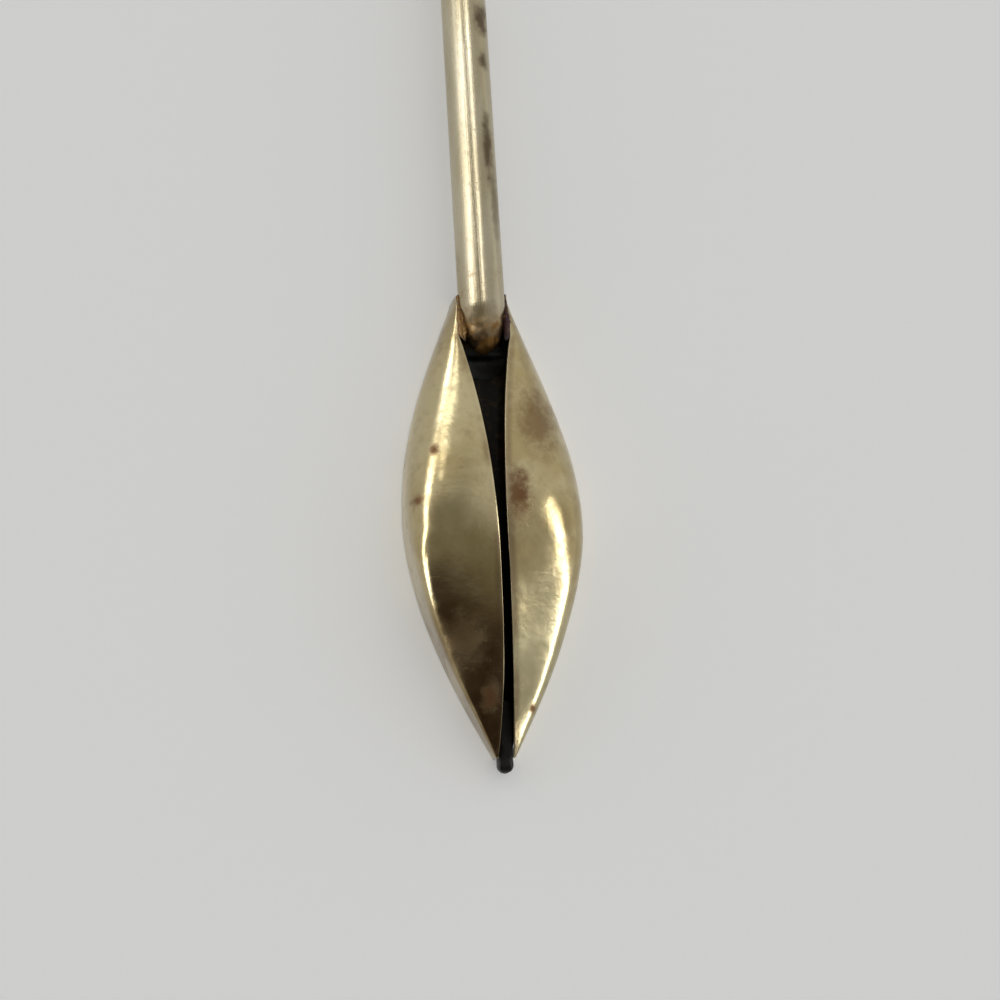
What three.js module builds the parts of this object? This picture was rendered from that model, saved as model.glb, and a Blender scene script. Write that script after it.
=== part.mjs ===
// Candle snuffer with a leaf-shaped hood, in millimetres.
// Two pressed brass half leaves are brazed along a folded midrib, and a round rod is brazed into the neck.
// The snuffer lies mouth down: X runs across the leaf, +Y along the handle, Z up from the plane of the rim.
// The origin is at the middle of the length and width, on the rim plane.

import * as THREE from 'three';

// Overall sizes
const OVERALL_LENGTH = 240;
const LEAF_LENGTH = 51;
const LEAF_WIDTH = 19.5;
const HOOD_HEIGHT = 10;
const LEAF_SHEET = 0.7;

// Leaf outline seen from above, as fractions of the leaf's length and half width
const WIDEST_AT = 0.48;
const RIM_NECK_PULL = new THREE.Vector2(0.12, 0.55);
const RIM_TIP_PULL = new THREE.Vector2(0.81, 0.64);
const RIM_ROUND_NECK_SIDE = 0.275;
const RIM_ROUND_TIP_SIDE = 0.65;
const TIP_HALF_WIDTH = 1.15;
const NECK_POINT_WIDTH = 0.3;
const NECK_WALL_SHARE = 0.75;

// Crown line along the slit, as fractions of the leaf's length and the hood's height
const HIGHEST_AT = 0.56;
const CROWN_NECK_PULL = new THREE.Vector2(0.14, 0.5);
const CROWN_TIP_PULL = new THREE.Vector2(0.91, 0.65);
const CROWN_ROUND_NECK_SIDE = 0.34;
const CROWN_ROUND_TIP_SIDE = 0.76;
const CROWN_TIP_HEIGHT = 2.6;

// Shoulder of the cross-section: 2 is a plain ellipse, and it grows squarer between fractions of the length
const SHOULDER_SQUARENESS_NECK = 2;
const SHOULDER_SQUARENESS_TIP = 7;
const SHOULDER_ROUND_UNTIL = 0.2;
const SHOULDER_SQUARE_FROM = 0.85;

// Keel: toward the tip each half slopes down from the slit, fully so between fractions of the length
const KEEL_SLOPE = 0.4;
const KEEL_STARTS_AT = 0.45;
const KEEL_FULL_FROM = 0.85;

// Slit between the halves, which closes and opens at fractions of the leaf's length
const SLIT_GAP = 0.7;
const SLIT_TIP_GAP = 1.6;
const SLIT_CLOSED_FROM = 0.45;
const SLIT_OPENS_FROM = 0.62;
const SLIT_SWEEP = 2.4;

// Handle rod
const ROD_DIAMETER = 5.2;
const ROD_END_DIAMETER = 4.6;
const ROD_IN_LEAF = 6.3;
const ROD_NOSE_LENGTH = 3;
const ROD_LIFT = 1.4;
const ROD_END_ROUNDING = 0.7;

// Midrib channel
const CHANNEL_SHEET = 0.5;
const CHANNEL_DEPTH = 3;
const CHANNEL_OVERHANG = 0.45;
const CHANNEL_SQUARENESS = 4;
const CHANNEL_FLOOR_CLEARANCE = 0.35;

// Braze metal and the film gap that it fills
const BRAZE_GAP = 0.12;
const NECK_BEAD_RADIUS = 0.22;
const NECK_BEAD_LENGTH = 4.4;
const SEAM_BEAD_RADIUS = 0.3;
const SEAM_START = 8.5;
const SEAM_STOPS_SHORT = 3.5;
const BEAD_END_SHARE = 0.3;
const POOL_LENGTH = 3.6;
const POOL_UNDER_NOSE = 1;
const POOL_HEIGHT = 1;
const POOL_SPREAD = 0.6;
const NUB_LENGTH = 5;
const NUB_OVERHANG = 1.6;
const NUB_HALF_WIDTH = 0.88;
const NUB_ROUNDING = 0.9;
const NUB_SQUARENESS = 3;
const NUB_SET_DOWN = 0.2;

// Facets
const LEAF_STATIONS = 56;
const LEAF_ARC_STEPS = 15;
const CHANNEL_STATIONS = 30;
const CHANNEL_ARC_STEPS = 14;
const ROD_SIDES = 28;
const ROD_ROUND_STEPS = 7;
const BEAD_STATIONS = 16;
const BEAD_SIDES = 10;
const CURVE_STEP = 1e-6;

const HALF_WIDTH = LEAF_WIDTH / 2;
const TIP_Y = NUB_OVERHANG - OVERALL_LENGTH / 2;
const NECK_Y = TIP_Y + LEAF_LENGTH;
const ROD_RADIUS = ROD_DIAMETER / 2;
const ROD_SEAT_HALF_WIDTH = ROD_RADIUS + BRAZE_GAP;
const ROD_NECK_HEIGHT = ROD_LIFT + ROD_RADIUS;
const NOSE_MIDDLE = ROD_IN_LEAF - ROD_NOSE_LENGTH / 2;
const NUB_START = LEAF_LENGTH - NUB_LENGTH;
const SEAM_END = NUB_START - SEAM_STOPS_SHORT;

/** Curve that rises from its start to a level peak and falls to its end. */
function swellCurve(start, startPull, peak, roundBefore, roundAfter, endPull, end) {
  const curve = new THREE.CurvePath();
  curve.add(new THREE.CubicBezierCurve(start, startPull, new THREE.Vector2(roundBefore, peak.y), peak));
  curve.add(new THREE.CubicBezierCurve(peak, new THREE.Vector2(roundAfter, peak.y), endPull, end));
  return curve;
}

/** Height of a curve above the point that lies `along` its first axis. */
function curveHeight(curve, along) {
  let low = 0;
  let high = 1;
  while (high - low > CURVE_STEP) {
    const middle = (low + high) / 2;
    if (curve.getPoint(middle).x < along) {
      low = middle;
    } else {
      high = middle;
    }
  }
  return curve.getPoint(low).y;
}

const leafScale = new THREE.Vector2(LEAF_LENGTH, HALF_WIDTH);
const rimCurve = swellCurve(
  new THREE.Vector2(0, ROD_SEAT_HALF_WIDTH + NECK_POINT_WIDTH),
  RIM_NECK_PULL.clone().multiply(leafScale),
  new THREE.Vector2(WIDEST_AT, 1).multiply(leafScale),
  RIM_ROUND_NECK_SIDE * LEAF_LENGTH,
  RIM_ROUND_TIP_SIDE * LEAF_LENGTH,
  RIM_TIP_PULL.clone().multiply(leafScale),
  new THREE.Vector2(LEAF_LENGTH, TIP_HALF_WIDTH),
);

const crownScale = new THREE.Vector2(LEAF_LENGTH, HOOD_HEIGHT);
const crownCurve = swellCurve(
  new THREE.Vector2(0, ROD_NECK_HEIGHT),
  CROWN_NECK_PULL.clone().multiply(crownScale),
  new THREE.Vector2(HIGHEST_AT, 1).multiply(crownScale),
  CROWN_ROUND_NECK_SIDE * LEAF_LENGTH,
  CROWN_ROUND_TIP_SIDE * LEAF_LENGTH,
  CROWN_TIP_PULL.clone().multiply(crownScale),
  new THREE.Vector2(LEAF_LENGTH, CROWN_TIP_HEIGHT),
);

/** Half the slit's gap: it hugs the rod's nose, sweeps in to mid length and opens a little at the tip. */
function slitHalfGap(along) {
  const closedFrom = SLIT_CLOSED_FROM * LEAF_LENGTH;
  const opensFrom = SLIT_OPENS_FROM * LEAF_LENGTH;
  const toNeck = THREE.MathUtils.clamp((closedFrom - along) / (closedFrom - NOSE_MIDDLE), 0, 1);
  const toTip = THREE.MathUtils.clamp((along - opensFrom) / (LEAF_LENGTH - opensFrom), 0, 1);
  const middle = SLIT_GAP / 2;
  const neck = (ROD_SEAT_HALF_WIDTH - middle) * toNeck ** SLIT_SWEEP;
  const tip = (SLIT_TIP_GAP / 2 - middle) * toTip ** 2;
  return middle + neck + tip;
}

/** Sizes of one half leaf's cross-section at a distance from the neck. */
function leafSection(along) {
  const inner = slitHalfGap(along);
  const outer = curveHeight(rimCurve, along);
  const crown = curveHeight(crownCurve, along);
  const wall = Math.min(LEAF_SHEET, (outer - inner) * NECK_WALL_SHARE);
  const share = along / LEAF_LENGTH;
  const settled = THREE.MathUtils.smoothstep(share, SHOULDER_ROUND_UNTIL, SHOULDER_SQUARE_FROM);
  const squareness = THREE.MathUtils.lerp(SHOULDER_SQUARENESS_NECK, SHOULDER_SQUARENESS_TIP, settled);
  const slope = KEEL_SLOPE * THREE.MathUtils.smoothstep(share, KEEL_STARTS_AT, KEEL_FULL_FROM);
  const keel = (slope * (outer - inner)) / crown;
  return { inner, outer, crown, wall, squareness, keel };
}

/** Height of the half leaf as a share of its crown, at a share of the way from the slit to the rim. */
function leafRise({ squareness, keel }, share) {
  const shoulder = (1 - share ** squareness) ** (1 / squareness);
  return THREE.MathUtils.lerp(shoulder, 1 - share, keel);
}

/** Height of the half leaf's underside at a distance across from the middle. */
function undersideHeight(section, across) {
  const share = (across - section.inner) / (section.outer - section.wall - section.inner);
  return (section.crown - LEAF_SHEET) * leafRise(section, share);
}

/** Point on a squared-off ellipse at an angle from its first half axis. */
function squaredEllipse(angle, halfWidth, halfHeight, squareness) {
  const round = (value) => Math.sign(value) * Math.abs(value) ** (2 / squareness);
  return new THREE.Vector2(halfWidth * round(Math.cos(angle)), halfHeight * round(Math.sin(angle)));
}

/** Numbers spread evenly from the first to the last, both included. */
function spread(first, last, steps) {
  return Array.from({ length: steps + 1 }, (_, step) => first + (last - first) * (step / steps));
}

/** The same loop of points, running anticlockwise. */
function anticlockwise(loop) {
  return THREE.ShapeUtils.isClockWise(loop) ? [...loop].reverse() : loop;
}

/** Body lofted along the leaf: each section is a closed loop of (across, height) points at one station. */
function loftAlongLeaf(stations, loopAt) {
  const loops = stations.map((along) => anticlockwise(loopAt(along)));
  const count = loops[0].length;
  const points = loops.flatMap((loop, ring) => {
    const y = NECK_Y - stations[ring];
    return loop.map((point) => new THREE.Vector3(point.x, y, point.y));
  });
  const faces = [];
  for (let ring = 0; ring + 1 < loops.length; ring += 1) {
    for (let j = 0; j < count; j += 1) {
      const here = ring * count + j;
      const next = ring * count + ((j + 1) % count);
      faces.push([here, next, next + count], [here, next + count, here + count]);
    }
  }
  const lastRing = (loops.length - 1) * count;
  THREE.ShapeUtils.triangulateShape(loops[0], []).forEach(([a, b, c]) => faces.push([a, c, b]));
  THREE.ShapeUtils.triangulateShape(loops.at(-1), []).forEach(([a, b, c]) => {
    faces.push([a + lastRing, b + lastRing, c + lastRing]);
  });
  const geometry = new THREE.BufferGeometry().setFromPoints(points);
  geometry.setIndex(faces.flat());
  geometry.computeVertexNormals();
  return geometry;
}

/** Pressed half leaf: its wall stands on the rim, turns at a shoulder and rises to the slit. */
function halfLeaf(side) {
  const angles = spread(0, Math.PI / 2, LEAF_ARC_STEPS);
  const arc = (section, width, height) =>
    angles.map((angle) => {
      const share = squaredEllipse(angle, 1, 1, section.squareness).x;
      return new THREE.Vector2(side * (section.inner + width * share), height * leafRise(section, share));
    });
  return loftAlongLeaf(spread(0, LEAF_LENGTH, LEAF_STATIONS), (along) => {
    const section = leafSection(along);
    const width = section.outer - section.inner;
    const outside = arc(section, width, section.crown);
    const inside = arc(section, width - section.wall, section.crown - LEAF_SHEET);
    return [...outside, ...inside.reverse()];
  });
}

/** Sizes of the channel's section: its walls end under the leaf and its floor stays off the rim plane. */
function channelSection(along) {
  const section = leafSection(along);
  const outer = section.inner + CHANNEL_OVERHANG + CHANNEL_SHEET;
  const top = undersideHeight(section, outer) - BRAZE_GAP;
  const floor = Math.max(top - CHANNEL_DEPTH, CHANNEL_SHEET + CHANNEL_FLOOR_CLEARANCE);
  return { outer, top, floor };
}

/** Folded U strip that ties the halves together under the slit. */
function midribChannel() {
  const angles = spread(0, Math.PI, CHANNEL_ARC_STEPS);
  const end = NUB_START - BRAZE_GAP;
  return loftAlongLeaf(spread(NOSE_MIDDLE, end, CHANNEL_STATIONS), (along) => {
    const { outer, top, floor } = channelSection(along);
    const arc = (halfWidth, depth) =>
      angles.map((angle) => {
        const point = squaredEllipse(angle, halfWidth, depth, CHANNEL_SQUARENESS);
        return new THREE.Vector2(point.x, top - point.y);
      });
    const outside = arc(outer, top - floor + CHANNEL_SHEET);
    const inside = arc(outer - CHANNEL_SHEET, top - floor);
    return [...outside, ...inside.reverse()];
  });
}

const rodStart = NECK_Y - ROD_IN_LEAF;
const rodLength = OVERALL_LENGTH / 2 - rodStart;
const rodSlope = Math.atan((ROD_NECK_HEIGHT - ROD_END_DIAMETER / 2) / rodLength);

/** Height of the rod's axis at a distance from the neck toward the tip. */
function rodAxisHeight(along) {
  return ROD_NECK_HEIGHT + (along - ROD_IN_LEAF) * Math.tan(rodSlope);
}

/** Tapered round rod with a bullet nose at the leaf and a rounded far end. */
function handleStem() {
  const nose = new THREE.EllipseCurve(0, ROD_NOSE_LENGTH, ROD_RADIUS, ROD_NOSE_LENGTH, -Math.PI / 2, 0);
  const endRadius = ROD_END_DIAMETER / 2;
  const end = new THREE.EllipseCurve(
    endRadius - ROD_END_ROUNDING,
    rodLength - ROD_END_ROUNDING,
    ROD_END_ROUNDING,
    ROD_END_ROUNDING,
    0,
    Math.PI / 2,
  );
  const profile = [
    ...nose.getPoints(ROD_ROUND_STEPS),
    ...end.getPoints(ROD_ROUND_STEPS),
    new THREE.Vector2(0, rodLength),
  ];
  profile[0].x = 0;
  return new THREE.LatheGeometry(profile, ROD_SIDES);
}

/** Round or oval bead of braze along the leaf: `sizeAt` gives its centre and half axes at each station. */
function bead(first, last, sizeAt, squareness = 2) {
  const angles = spread(0, Math.PI * 2, BEAD_SIDES).slice(0, -1);
  return loftAlongLeaf(spread(first, last, BEAD_STATIONS), (along) => {
    const { across, height, halfWidth, halfHeight } = sizeAt(along);
    return angles.map((angle) => {
      const point = squaredEllipse(angle, halfWidth, halfHeight, squareness);
      return new THREE.Vector2(across + point.x, height + point.y);
    });
  });
}

/** Share of full size that a bead has along its length, rounded off at both ends. */
function roundedEnds(along, first, last, rounding) {
  const inset = Math.min(along - first, last - along, rounding);
  return Math.max(BEAD_END_SHARE, Math.sqrt(1 - (1 - inset / rounding) ** 2));
}

/** Bead in the groove between the rod and the upper edge of one half leaf. */
function neckBraze(side) {
  const first = BRAZE_GAP;
  const last = first + NECK_BEAD_LENGTH;
  return bead(first, last, (along) => {
    const height = curveHeight(crownCurve, along) + BRAZE_GAP + NECK_BEAD_RADIUS;
    const reach = ROD_RADIUS + BRAZE_GAP + NECK_BEAD_RADIUS;
    const across = side * Math.sqrt(reach ** 2 - (height - rodAxisHeight(along)) ** 2);
    const radius = NECK_BEAD_RADIUS * roundedEnds(along, first, last, NECK_BEAD_LENGTH / 4);
    return { across, height, halfWidth: radius, halfHeight: radius };
  });
}

/** Bead inside the hood between the channel's wall and the underside of one half leaf. */
function seamBraze(side) {
  return bead(SEAM_START, SEAM_END, (along) => {
    const outerWall = channelSection(along).outer + BRAZE_GAP;
    const farSide = outerWall + 2 * SEAM_BEAD_RADIUS;
    const height = undersideHeight(leafSection(along), farSide) - BRAZE_GAP - SEAM_BEAD_RADIUS;
    const radius = SEAM_BEAD_RADIUS * roundedEnds(along, SEAM_START, SEAM_END, 2 * SEAM_BEAD_RADIUS);
    return { across: side * (outerWall + SEAM_BEAD_RADIUS), height, halfWidth: radius, halfHeight: radius };
  });
}

/** Height of the underside of the rod's nose, which rises to the rod's axis at its tip. */
function noseUnderside(along) {
  const fromFull = Math.max(0, 1 - (ROD_IN_LEAF - along) / ROD_NOSE_LENGTH);
  return rodAxisHeight(along) - ROD_RADIUS * Math.sqrt(Math.max(0, 1 - fromFull ** 2));
}

/** Pool of braze that rises from the channel's floor to the underside of the rod's nose. */
function stemEndBraze() {
  const first = ROD_IN_LEAF - POOL_UNDER_NOSE;
  const last = first + POOL_LENGTH;
  return bead(first, last, (along) => {
    const { outer, floor } = channelSection(along);
    const share = roundedEnds(along, first, last, POOL_LENGTH / 2);
    const bottom = floor + BRAZE_GAP;
    const top = Math.min(bottom + POOL_HEIGHT, noseUnderside(along) - BRAZE_GAP);
    return {
      across: 0,
      height: (bottom + top) / 2,
      halfWidth: outer * POOL_SPREAD * share,
      halfHeight: ((top - bottom) / 2) * share,
    };
  });
}

/** Nub of braze that fills the end of the slit and stands a little past the leaf's tip. */
function tipBraze() {
  const last = LEAF_LENGTH + NUB_OVERHANG;
  return bead(
    NUB_START,
    last,
    (along) => {
      const inLeaf = Math.min(along, LEAF_LENGTH);
      const top = curveHeight(crownCurve, inLeaf) - NUB_SET_DOWN;
      const pastTip = along > LEAF_LENGTH;
      const share = pastTip ? roundedEnds(along, NUB_START, last, NUB_ROUNDING) : 1;
      return {
        across: 0,
        height: (top + NUB_SET_DOWN) / 2,
        halfWidth: (pastTip ? NUB_HALF_WIDTH : slitHalfGap(inLeaf) - BRAZE_GAP) * share,
        halfHeight: ((top - NUB_SET_DOWN) / 2) * share,
      };
    },
    NUB_SQUARENESS,
  );
}

const finishes = {
  leaf: { color: 0xb5a578, roughness: 0.32, metalness: 1 },
  rod: { color: 0xb8a87c, roughness: 0.28, metalness: 1 },
  channel: { color: 0x3b352c, roughness: 0.6, metalness: 0.8 },
  braze: { color: 0x5a4230, roughness: 0.7, metalness: 0.6 },
};

/** Named piece of the snuffer with its own material. */
function piece(name, geometry, finish) {
  const mesh = new THREE.Mesh(geometry, new THREE.MeshStandardMaterial(finish));
  mesh.name = name;
  return mesh;
}

const LEFT = -1;
const RIGHT = 1;

const stem = piece('handle_stem', handleStem(), finishes.rod);
stem.position.set(0, rodStart, ROD_NECK_HEIGHT);
stem.rotation.x = -rodSlope;

const snuffer = new THREE.Group();
snuffer.name = 'leaf_candle_snuffer';
snuffer.add(
  stem,
  piece('left_leaf', halfLeaf(LEFT), finishes.leaf),
  piece('right_leaf', halfLeaf(RIGHT), finishes.leaf),
  piece('midrib_channel', midribChannel(), finishes.channel),
  piece('left_neck_braze', neckBraze(LEFT), finishes.braze),
  piece('right_neck_braze', neckBraze(RIGHT), finishes.braze),
  piece('stem_end_braze', stemEndBraze(), finishes.braze),
  piece('tip_braze', tipBraze(), finishes.braze),
  piece('left_seam_braze', seamBraze(LEFT), finishes.braze),
  piece('right_seam_braze', seamBraze(RIGHT), finishes.braze),
);

export default snuffer;
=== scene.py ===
"""Brass candle snuffer with a leaf-shaped hood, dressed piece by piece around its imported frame."""

import logging
import math
from dataclasses import dataclass, replace
from enum import Enum

import bpy
import numpy as np
from mathutils import Matrix, Vector, noise


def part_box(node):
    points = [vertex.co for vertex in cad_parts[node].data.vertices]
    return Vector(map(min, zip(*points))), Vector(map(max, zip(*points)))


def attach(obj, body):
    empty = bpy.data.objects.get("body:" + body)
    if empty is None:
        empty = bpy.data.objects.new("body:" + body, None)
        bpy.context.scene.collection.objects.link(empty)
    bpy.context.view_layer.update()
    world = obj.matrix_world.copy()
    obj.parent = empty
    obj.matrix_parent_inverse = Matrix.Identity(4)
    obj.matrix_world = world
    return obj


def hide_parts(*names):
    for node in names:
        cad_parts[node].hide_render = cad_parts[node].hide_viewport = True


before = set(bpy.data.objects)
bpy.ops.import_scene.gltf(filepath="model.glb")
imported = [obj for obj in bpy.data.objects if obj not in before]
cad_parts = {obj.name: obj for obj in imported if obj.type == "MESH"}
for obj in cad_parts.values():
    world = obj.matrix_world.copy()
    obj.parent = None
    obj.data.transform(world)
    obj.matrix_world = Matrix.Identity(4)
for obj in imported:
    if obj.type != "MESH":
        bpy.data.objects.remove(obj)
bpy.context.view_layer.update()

LOG = logging.getLogger("snuffer")
MM = 0.001
GRAIN_DRIFT = (1.0, 1.7, 0.6)
BEZIER_STEP = 3
DENT_RUN = 2.0

Array = np.ndarray
Material = bpy.types.Material
Piece = bpy.types.Object
Wire = bpy.types.NodeSocket
Colour = tuple[float, float, float]
Point = tuple[float, float, float]
Span = tuple[float, float]
Ramp = tuple[float, ...]
Ramps = tuple[Ramp, ...]


class Side(Enum):
    """Half of the leaf, as the sign of its X."""

    LEFT = -1
    RIGHT = 1

    @property
    def word(self) -> str:
        """The half's word in the names of pieces."""
        return self.name.lower()


class Reach(Enum):
    """Part of the snuffer that a light falls on."""

    LEAF = "leaf"
    ROD = "rod"


class Slot(Enum):
    """Material slots of the record."""

    LEAF = "leaf_brass"
    ROD = "rod_brass"
    CHANNEL = "tarnished_brass"
    BRAZE = "braze_metal"


class Socket(Enum):
    """Kinds of socket of a shape's node tree."""

    NUMBER = "NodeSocketFloat"
    WHOLE = "NodeSocketInt"
    VECTOR = "NodeSocketVector"
    MATERIAL = "NodeSocketMaterial"
    GEOMETRY = "NodeSocketGeometry"


def linear(colour: Colour) -> tuple[float, float, float, float]:
    """Turn a colour as the eye reads it into the renderer's linear values by the sRGB curve.

    Args:
        colour: red, green and blue from 0 to 1, as on a screen.

    Returns:
        Linear red, green and blue with an alpha of 1.
    """
    red, green, blue = (
        part / 12.92 if part <= 0.04045 else ((part + 0.055) / 1.055) ** 2.4 for part in colour
    )
    return (red, green, blue, 1.0)


def ease(value: Array | float, first: float, last: float) -> Array | float:
    """Smooth step from 0 at `first` to 1 at `last`."""
    share = np.clip((value - first) / (last - first), 0.0, 1.0)
    return share * share * (3 - 2 * share)


def bend(points: list[Span], count: int = 160) -> Array:
    """Trace a curve of cubic bends that share their end points.

    Args:
        points: first point, then three more points for each bend.
        count: points traced on each bend.

    Returns:
        Traced points, one in each row.
    """
    share = np.linspace(0.0, 1.0, count)[:, None]
    rest = 1 - share
    traced = []
    for first in range(0, len(points) - 1, BEZIER_STEP):
        corners = points[first:first + BEZIER_STEP + 1]
        a, b, c, d = (np.array(corner, float) for corner in corners)
        traced.append(
            rest ** 3 * a + 3 * rest ** 2 * share * b
            + 3 * rest * share ** 2 * c + share ** 3 * d
        )
    return np.vstack(traced)


def even_points(curve: Array, skip: float, count: int) -> Array:
    """Spread points evenly on a traced curve.

    Args:
        curve: points of the curve, one in each row.
        skip: length left out at both ends.
        count: points wanted.

    Returns:
        Points at even distances, one in each row.
    """
    steps = np.linalg.norm(np.diff(curve, axis=0), axis=1)
    reach = np.concatenate(([0.0], np.cumsum(steps)))
    wanted = np.linspace(skip, reach[-1] - skip, count)
    return np.column_stack([np.interp(wanted, reach, column) for column in curve.T])


def rounded(before: Array, corner: Span, after: Array, count: int = 4) -> Array:
    """Points that round a corner between two points, without those two."""
    share = np.linspace(0.0, 1.0, count + 2)[1:-1, None]
    return (1 - share) ** 2 * before + 2 * share * (1 - share) * corner + share ** 2 * after


def squared_arc(angles: Array, half_width: float, height: float, squareness: float) -> Array:
    """Trace an ellipse that is squarer the higher its squareness, where 2 is plain.

    Args:
        angles: angle of each point in radians.
        half_width: half of its width.
        height: half of its height.
        squareness: power of its equation.

    Returns:
        Points (across, height), one in each row.
    """
    cosine, sine = np.cos(angles), np.sin(angles)
    power = 2 / squareness
    across = half_width * np.sign(cosine) * np.abs(cosine) ** power
    return np.column_stack((across, height * np.sign(sine) * np.abs(sine) ** power))


def grain(points: Array, size: float, seed: float) -> Array:
    """Soft random values from 0 to 1 at points, with features of about `size`."""
    shift = Vector([seed * drift for drift in GRAIN_DRIFT])
    return np.array([0.5 + 0.5 * noise.noise(Vector(point) / size + shift) for point in points])


def link(thing: Piece) -> Piece:
    """Put a new object in the scene and hand it back."""
    bpy.context.scene.collection.objects.link(thing)
    return thing


def stand(place: Vector, right: Vector, up: Vector, back: Vector) -> Matrix:
    """Matrix of a thing at a place that looks away from `back`."""
    return Matrix.Translation(place) @ Matrix((right, up, back)).transposed().to_4x4()


def note_values(mesh: bpy.types.Mesh, name: str, values: Array) -> None:
    """Keep one value for each point of a mesh under an attribute's name."""
    layer = mesh.attributes.new(name, "FLOAT", "POINT")
    layer.data.foreach_set("value", values.reshape(-1).astype(np.float32))


def loft(name: str, loops: Array, marks: dict[str, Array] | None = None) -> Piece:
    """Skin closed loops into one closed body.

    Args:
        name: name of the new object.
        loops: points in mm, shaped (stations, points of a loop, 3), wound to face outward.
        marks: values for each point, shaped (stations, points of a loop), by attribute name.

    Returns:
        New object with its place in its mesh.
    """
    stations, around = loops.shape[:2]
    index = np.arange(stations * around).reshape(stations, around)
    following = np.roll(index, -1, axis=1)
    walls = np.stack((index[:-1], following[:-1], following[1:], index[1:]), axis=-1)
    faces = [tuple(face) for face in walls.reshape(-1, 4).tolist()]
    faces += [tuple(reversed(index[0].tolist())), tuple(index[-1].tolist())]
    mesh = bpy.data.meshes.new(name)
    mesh.from_pydata((loops.reshape(-1, 3) * MM).tolist(), [], faces)
    for mark, values in (marks or {}).items():
        note_values(mesh, mark, values)
    mesh.shade_smooth()
    mesh.update()
    return link(bpy.data.objects.new(name, mesh))


def hollow(piece: Piece, depth: float, size: float, seed: float, past: float = math.inf) -> None:
    """Press a body's surface in by soft random dents, never out.

    Args:
        piece: object whose mesh is changed.
        depth: deepest dent in mm.
        size: width of the dents in mm.
        seed: choice of the random pattern.
        past: Y in mm below which the dents set in.
    """
    mesh = piece.data
    count = len(mesh.vertices)
    points = np.empty(count * 3, np.float32)
    normals = np.empty(count * 3, np.float32)
    mesh.vertices.foreach_get("co", points)
    mesh.vertex_normals.foreach_get("vector", normals)
    points, normals = points.reshape(-1, 3), normals.reshape(-1, 3)
    dents = depth * grain(points / MM, size, seed)
    if past < math.inf:
        dents *= ease(points[:, 1] / MM, past, past - DENT_RUN)
    points -= normals * dents[:, None] * MM
    mesh.vertices.foreach_set("co", points.reshape(-1))
    mesh.update()


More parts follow.
